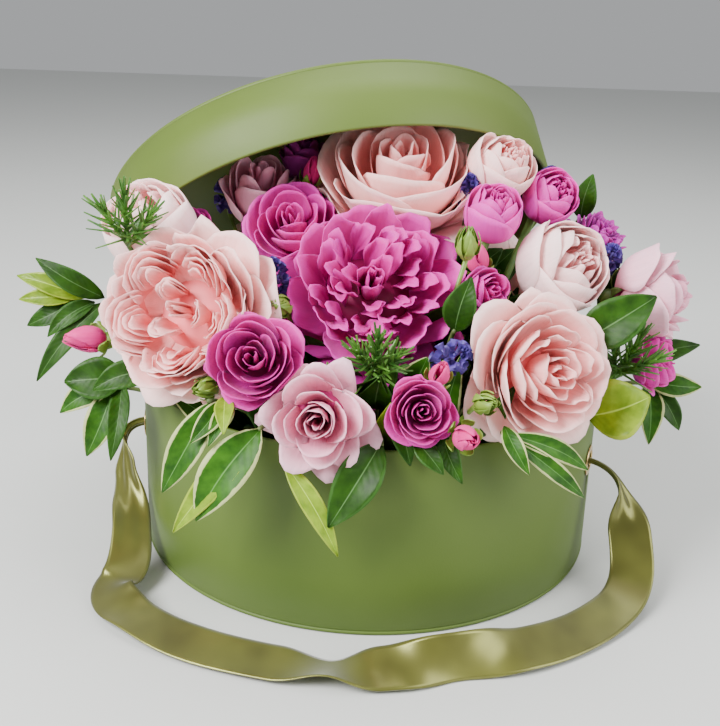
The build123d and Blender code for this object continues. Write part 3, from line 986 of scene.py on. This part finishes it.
closed = start_bloom()
for order, (seat, way, wide, high, foot) in enumerate(bloom_seats("green_buds")):
    one = start_bloom()
    wrapped_bud(one, random.Random(90 + order), (wide * 1.1, high), 0.95)
    plant(one, seat, way, foot, 0.0012)
    join_cluster(closed, one)
finishes = [bud_calyx, bud_calyx]
finish_piece("green_buds_cluster", closed, "insert", finishes, ["green_buds"], 0.0003)

# Grape hyacinths: short spikes of tight violet bells on soft stems.
bells = green_skin("violet_bells", (0.040, 0.020, 0.16), (0.15, 0.10, 0.44), 0.5)
BELLS = 26
spikes = start_bloom()
for seat, way, wide, high, foot in bloom_seats("grape_hyacinths"):
    one = start_bloom()
    dice = random.Random(round(seat.x * 1e4))
    for i in range(BELLS):
        up = (i + 0.5) / BELLS
        far = wide * 0.85 * math.sin(math.pi * min(0.97, 0.18 + 0.8 * up))
        bell = 0.0031 * (1.15 - 0.45 * up)
        lean = math.radians(100 - 75 * up + dice.uniform(-12, 12))
        place = Matrix.Translation((0, 0, high * (0.02 + 0.95 * up)))
        place = place @ Matrix.Rotation(GOLDEN_TURN * i, 4, "Z") @ Matrix.Rotation(lean, 4, "Y")
        bmesh.ops.create_cone(
            one,
            cap_ends=False,
            segments=5,
            radius1=bell * 0.28,
            radius2=bell * 0.9,
            depth=bell * 1.7,
            matrix=place @ Matrix.Translation((0, 0, far)),
        )
        bmesh.ops.create_icosphere(
            one, subdivisions=1, radius=bell * 0.5, matrix=place @ Matrix.Translation((0, 0, far * 0.8))
        )
    plant(one, seat, way, foot, 0.0012)
    join_cluster(spikes, one)
finishes = [bells, calyx_green]
nodes = ["grape_hyacinths"]
finish_piece("grape_hyacinth_spikes", spikes, "insert", finishes, nodes)

# Rosemary: woody sprigs set with narrow needles all the way up. Each is one cut tip with two
# side shoots, so that it fans out between the heads.
needles_green = green_skin("rosemary_green", (0.026, 0.10, 0.012), (0.10, 0.26, 0.028), 0.45)
SHOOTS = ((0, 0.036, 34), (34, 0.030, 24), (-38, 0.030, 24))
NEEDLE = 0.019


def add_shoot(shape, dice, start, way, long, count):
    add_rod(shape, start, start + way * long, 0.0012, 0.0006, 0)
    grow = Matrix.Translation(start) @ facing(way)
    for i in range(count):
        up = i / count
        lean = math.radians(58 - 46 * up + dice.uniform(-8, 8))
        size = NEEDLE * (1.05 - 0.4 * up) * dice.uniform(0.8, 1.15)
        place = Matrix.Translation((0, 0, long * (0.1 + 0.86 * up)))
        place = place @ Matrix.Rotation(GOLDEN_TURN * i, 4, "Z") @ Matrix.Rotation(lean, 4, "Y")
        place = place @ Matrix.Translation((0, 0, size / 2))
        bmesh.ops.create_cone(
            shape,
            cap_ends=True,
            segments=6,
            radius1=0.0012,
            radius2=0.0005,
            depth=size,
            matrix=grow @ place @ Matrix.Diagonal((0.5, 1.0, 1, 1)),
        )


rosemary = start_bloom()
for seat, way, wide, high, foot in bloom_seats("rosemary"):
    dice = random.Random(round(seat.x * 1e4))
    aim = (way * 0.55 + Vector((0.2 if seat.x < -0.1 else 0, -0.25, 0.8))).normalized()
    fan = Vector((0, -1, 0.25)).normalized()
    for turn, long, count in SHOOTS:
        lean = Matrix.Rotation(math.radians(turn), 3, fan) @ aim
        add_shoot(rosemary, dice, seat, lean, long, count)
    add_rod(rosemary, seat, foot, 0.0013, slot=0)
finish_piece("rosemary_sprigs", rosemary, "insert", [needles_green], ["rosemary"], smooth=False)

# The foliage: twigs of small glossy leaves, broad leaves with a cream edge and a few long lime
# ones, all wired low in the foam and spilling over the rim. Each leaf is one blade, folded a
# little along its midrib and arched from twig to tip.
FOAM_FOOT = 0.064
LOOK = Vector((0, -0.94, 0.6))


def leaf_skin(name, dark, light, margin, margin_from, rough):
    leaf, shader, join = new_material(name, rough)
    where, split, cloud, hue = add_nodes(leaf, "TexCoord", "SeparateXYZ", "TexNoise", "Attribute")
    rib, edge, colour, shade, ribbed, edged, bump = add_nodes(
        leaf, "MapRange", "MapRange", "ValToRGB", "HueSaturation", "Mix", "Mix", "Bump"
    )
    centre = add_math(leaf, "SUBTRACT", 0.5)
    spread = add_math(leaf, "ABSOLUTE")
    side_phase = add_math(leaf, "MULTIPLY", -26)
    side_run = add_math(leaf, "MULTIPLY_ADD", 62)
    side_wave = add_math(leaf, "SINE")
    fray = add_math(leaf, "MULTIPLY_ADD", 0.12)
    ridge = add_math(leaf, "MULTIPLY_ADD", 0.14)
    hue.attribute_name = "tone"
    set_inputs(cloud, Scale=140, Detail=4)
    set_inputs(rib, From_Min=0.022, From_Max=0.004)
    set_inputs(edge, From_Min=margin_from / 2, From_Max=margin_from / 2 + 0.02)
    ramp_of(colour, (0.32, dark), (0.68, light))
    for mix in (ribbed, edged):
        mix.data_type = "RGBA"
    ribbed.inputs[7].default_value = (*(0.05 + 1.7 * c for c in light), 1)
    edged.inputs[7].default_value = (*margin, 1)
    set_inputs(bump, Strength=0.35, Distance=0.0006)
    set_inputs(shader, Subsurface_Weight=0.12, Subsurface_Radius=(0.002, 0.004, 0.001))
    set_inputs(shader, Specular_IOR_Level=0.16)
    join(
        (where, "UV", split, "Vector"),
        (where, "Object", cloud, "Vector"),
        (split, "X", centre, 0),
        (centre, "Value", spread, 0),
        (spread, "Value", rib, "Value"),
        (spread, "Value", side_phase, 0),
        (split, "Y", side_run, 0),
        (side_phase, "Value", side_run, 2),
        (side_run, "Value", side_wave, 0),
        (cloud, "Fac", fray, 0),
        (spread, "Value", fray, 2),
        (fray, "Value", edge, "Value"),
        (cloud, "Fac", colour, "Fac"),
        (hue, "Fac", shade, "Value"),
        (colour, "Color", shade, "Color"),
        (shade, "Color", ribbed, 6),
        (rib, "Result", ribbed, "Factor"),
        (ribbed, 2, edged, 6),
        (edge, "Result", edged, "Factor"),
        (edged, 2, shader, "Base Color"),
        (side_wave, "Value", ridge, 0),
        (cloud, "Fac", ridge, 2),
        (ridge, "Value", bump, "Height"),
        (bump, "Normal", shader, "Normal"),
    )
    return leaf


def add_leaf(shape, dice, base, tip, width, slot=0, arch=0.12, fold=0.28):
    start = Vector(base)
    run = Vector(tip) - start
    across = run.cross(LOOK).normalized()
    up = across.cross(run).normalized()
    made = add_sheet(shape, 8, 14, 0.0, dice.uniform(0.85, 1.15), slot)
    sway = dice.uniform(-0.07, 0.07) * run.length
    ripple = dice.uniform(0, 6.28)
    for v in made:
        u = v.co.x
        t = (v.co.y + 1) / 2
        blade = 0.54 * width * max(0.02, math.sin(math.pi * min(1, t**0.82))) ** 0.8
        bow = arch * run.length * math.sin(math.pi * min(1.0, t * 0.95))
        lift = fold * abs(u) ** 1.3 * blade + 0.05 * width * math.sin(9 * t + ripple) * u * u
        v.co = (
            start + run * t + across * (u * blade + sway * math.sin(math.pi * t)) + up * (bow + lift)
        )


def add_twig(shape, points, radius):
    tube = curve_mesh("twig", points, 8, radius)
    before = len(shape.faces)
    shape.from_mesh(tube)
    shape.faces.ensure_lookup_table()
    for face in shape.faces[before:]:
        face.material_index = BARK
    bpy.data.meshes.remove(tube)


LEAF_FINISHES = [
    leaf_skin(name, dark, light, margin, margin_from, rough)
    for name, dark, light, margin, margin_from, rough in (
        ("glossy_leaf", (0.010, 0.038, 0.002), (0.022, 0.078, 0.004), (0.03, 0.09, 0.012), 0.97, 0.44),
        ("cream_edged_leaf", (0.012, 0.058, 0.003), (0.034, 0.122, 0.006), (0.42, 0.46, 0.19), 0.925, 0.46),
        ("lime_leaf", (0.12, 0.21, 0.008), (0.22, 0.33, 0.016), (0.27, 0.36, 0.03), 0.95, 0.36),
    )
]
LEAF_FINISHES.append(green_skin("twig_bark", (0.05, 0.09, 0.02), (0.13, 0.16, 0.04), 0.6))
GLOSSY, CREAM, LIME, BARK = range(4)
LEAF_THICK = 0.00035
# Each sprig: the foot of its twig in the foam, the points where the twig goes, and its leaves, as
# base, tip, width and finish.
SPRIGS = {
    "sprig_left_upper": ((-0.054, 0.010), [(-0.156, -0.022, 0.148), (-0.191, -0.022, 0.150)], [
        ((-0.160, -0.023, 0.150), (-0.199, -0.024, 0.173), 0.011, GLOSSY),
        ((-0.172, -0.022, 0.149), (-0.212, -0.020, 0.161), 0.010, LIME),
        ((-0.178, -0.023, 0.149), (-0.210, -0.026, 0.148), 0.009, LIME),
        ((-0.176, -0.022, 0.148), (-0.206, -0.026, 0.132), 0.011, GLOSSY),
        ((-0.166, -0.022, 0.147), (-0.192, -0.034, 0.128), 0.010, GLOSSY),
        ((-0.160, -0.022, 0.147), (-0.198, -0.040, 0.102), 0.011, GLOSSY),
    ]),
    "sprig_left_lower": ((-0.070, -0.044), [(-0.132, -0.064, 0.120), (-0.153, -0.066, 0.107)], [
        ((-0.140, -0.0645, 0.1155), (-0.174, -0.068, 0.113), 0.020, GLOSSY),
        ((-0.148, -0.0655, 0.110), (-0.177, -0.070, 0.095), 0.012, CREAM),
        ((-0.147, -0.0654, 0.110), (-0.160, -0.082, 0.074), 0.015, CREAM),
        ((-0.142, -0.065, 0.1135), (-0.144, -0.092, 0.076), 0.010, GLOSSY),
    ]),
    "sprig_front_left": ((-0.036, -0.034), [(-0.072, -0.132, 0.133), (-0.082, -0.142, 0.134)], [
        ((-0.080, -0.141, 0.133), (-0.104, -0.152, 0.088), 0.014, CREAM),
        ((-0.076, -0.138, 0.132), (-0.089, -0.156, 0.117), 0.009, CREAM),
        ((-0.071, -0.134, 0.131), (-0.080, -0.157, 0.116), 0.008, CREAM),
        ((-0.074, -0.136, 0.134), (-0.072, -0.160, 0.124), 0.008, LIME),
    ]),
    "leaf_green_front": ((-0.036, -0.024), [(-0.050, -0.138, 0.127), (-0.056, -0.148, 0.122)], [
        ((-0.055, -0.147, 0.122), (-0.086, -0.160, 0.077), 0.019, CREAM),
        ((-0.056, -0.148, 0.120), (-0.098, -0.156, 0.068), 0.012, LIME),
    ]),
    "leaf_lime_long": (
        (-0.014, -0.036),
        [(-0.040, -0.136, 0.118), (-0.043, -0.150, 0.104)],
        [((-0.043, -0.149, 0.105), (-0.015, -0.163, 0.061), 0.009, LIME)],
    ),
    "leaf_dark_front": (
        (0.004, -0.046),
        [(0.005, -0.134, 0.120), (0.005, -0.146, 0.115)],
        [((0.005, -0.145, 0.116), (-0.020, -0.163, 0.077), 0.018, GLOSSY)],
    ),
    "leaf_small_front": (
        (0.022, -0.040),
        [(0.024, -0.128, 0.113), (0.022, -0.146, 0.118)],
        [((0.022, -0.145, 0.118), (0.036, -0.157, 0.105), 0.009, GLOSSY)],
    ),
    "sprig_front_right": ((0.044, -0.028), [(0.066, -0.134, 0.124), (0.071, -0.140, 0.119)], [
        ((0.067, -0.135, 0.123), (0.079, -0.152, 0.104), 0.008, CREAM),
        ((0.070, -0.139, 0.120), (0.114, -0.122, 0.094), 0.009, CREAM),
        ((0.071, -0.140, 0.118), (0.112, -0.130, 0.082), 0.008, CREAM),
    ]),
    "leaf_broad_right": (
        (0.050, -0.040),
        [(0.110, -0.084, 0.113), (0.119, -0.092, 0.112)],
        [((0.118, -0.091, 0.112), (0.151, -0.092, 0.125), 0.027, LIME)],
    ),
    "sprig_right": ((0.060, -0.004), [(0.150, -0.034, 0.122), (0.170, -0.038, 0.110)], [
        ((0.153, -0.035, 0.120), (0.192, -0.036, 0.137), 0.012, GLOSSY),
        ((0.162, -0.037, 0.115), (0.195, -0.040, 0.112), 0.012, CREAM),
        ((0.164, -0.037, 0.113), (0.163, -0.058, 0.082), 0.012, CREAM),
        ((0.169, -0.038, 0.110), (0.184, -0.044, 0.086), 0.010, GLOSSY),
    ]),
    "leaf_dark_right": (
        (0.058, 0.006),
        [(0.124, -0.030, 0.148), (0.134, -0.032, 0.152)],
        [((0.133, -0.032, 0.151), (0.160, -0.018, 0.176), 0.020, GLOSSY)],
    ),
    "leaf_inner_right": (
        (0.028, -0.044),
        [(0.040, -0.092, 0.156), (0.042, -0.101, 0.162)],
        [((0.042, -0.100, 0.161), (0.049, -0.101, 0.191), 0.014, GLOSSY)],
    ),
    "leaf_back_right": (
        (0.046, 0.014),
        [(0.121, 0.014, 0.192), (0.124, 0.011, 0.201)],
        [((0.124, 0.011, 0.200), (0.128, 0.007, 0.228), 0.012, GLOSSY)],
    ),
}
dice = random.Random(7)
for name, (foot, way, leaves) in SPRIGS.items():
    sprig = start_bloom()
    add_twig(sprig, [(*foot, FOAM_FOOT), *way], 0.0011)
    for base, tip, width, slot in leaves:
        add_leaf(sprig, dice, base, tip, width * 1.15, slot)
    finish_piece(name + "_leaves", sprig, "insert", LEAF_FINISHES, [name], LEAF_THICK)

# The greens tucked low between the heads, which hide the foam: short-stemmed dark leaves pushed
# in all round the rim of the liner, each leaning out over the edge of the box.
tucked = start_bloom()
TUCKED_RINGS = (
    # leaves, radius of the foot, reach outwards, height of the tip, width of the leaf
    (30, 0.104, 0.040, 0.128, 0.017),
    (26, 0.092, 0.036, 0.142, 0.015),
    (20, 0.070, 0.030, 0.148, 0.015),
    (12, 0.036, 0.026, 0.146, 0.014),
)
FOAM_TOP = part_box("foam")[1][2]
for count, ring, reach, top, width in TUCKED_RINGS:
    for i in range(count):
        turn = 2 * math.pi * (i + dice.uniform(-0.3, 0.3)) / count
        out = Vector((math.cos(turn), math.sin(turn), 0))
        sideways = Vector((-out.y, out.x, 0)) * dice.uniform(-0.014, 0.014)
        base = out * ring + Vector((0, 0, FOAM_TOP - 0.004))
        tip = out * (ring + reach * dice.uniform(0.7, 1.1)) + sideways
        tip.z = top + dice.uniform(-0.012, 0.012)
        slot = dice.choice((GLOSSY, GLOSSY, GLOSSY, CREAM, LIME))
        add_leaf(tucked, dice, base, tip, width * dice.uniform(0.8, 1.2), slot, 0.16)
finish_piece("tucked_leaves", tucked, "insert", LEAF_FINISHES, [], LEAF_THICK)

# Taller greens between the heads: single leaves on bare twigs, set wherever there is room, with
# the blade standing just behind the faces of the flowers round it.
STANDING_LEAVES = 96
STANDING_TRIES = 6000
STANDING_FOOT = FOAM_FOOT + 0.02
standing = start_bloom()
placed = 0
for _ in range(STANDING_TRIES):
    if placed == STANDING_LEAVES:
        break
    turn = dice.uniform(0, 2 * math.pi)
    ring = dice.uniform(0.045, 0.118)
    top = 0.225 - 0.62 * ring + dice.uniform(-0.03, 0.0)
    lean = Vector((math.cos(turn), math.sin(turn), dice.uniform(0.5, 1.3))).normalized()
    base = Vector((ring * math.cos(turn), ring * math.sin(turn), top - 0.03))
    long = dice.uniform(0.026, 0.042)
    tip = base + lean * long
    room = min((base.lerp(tip, 0.7) - head).length - reach for head, reach in NEIGHBOURS)
    crowded = min((tip - head).length - reach for head, reach in NEIGHBOURS)
    if room < 0.001 or crowded < 0.0 or tip.y > 0.06 + 0.4 * abs(tip.x):
        continue
    placed += 1
    add_twig(standing, [(base.x * 0.6, base.y * 0.6, STANDING_FOOT), tuple(base)], 0.0009)
    slot = dice.choice((GLOSSY, GLOSSY, GLOSSY, CREAM))
    add_leaf(standing, dice, base, tip, long * dice.uniform(0.42, 0.56), slot, 0.12)
SET_BY_HAND = (
    ((0.112, -0.080, 0.150), (0.151, -0.080, 0.178), 0.024, GLOSSY),
    ((0.010, -0.128, 0.126), (0.020, -0.146, 0.104), 0.012, GLOSSY),
    ((0.036, -0.136, 0.118), (0.046, -0.152, 0.098), 0.010, GLOSSY),
    ((-0.118, -0.086, 0.128), (-0.152, -0.092, 0.118), 0.015, GLOSSY),
)
for base, tip, width, slot in SET_BY_HAND:
    foot = (base[0] * 0.6, base[1] * 0.6, STANDING_FOOT)
    bend = (base[0] * 0.9, base[1] * 0.9, base[2] - 0.01)
    add_twig(standing, [foot, bend, base], 0.0009)
    add_leaf(standing, dice, base, tip, width, slot)
finish_piece("standing_leaves", standing, "insert", LEAF_FINISHES, [], LEAF_THICK)
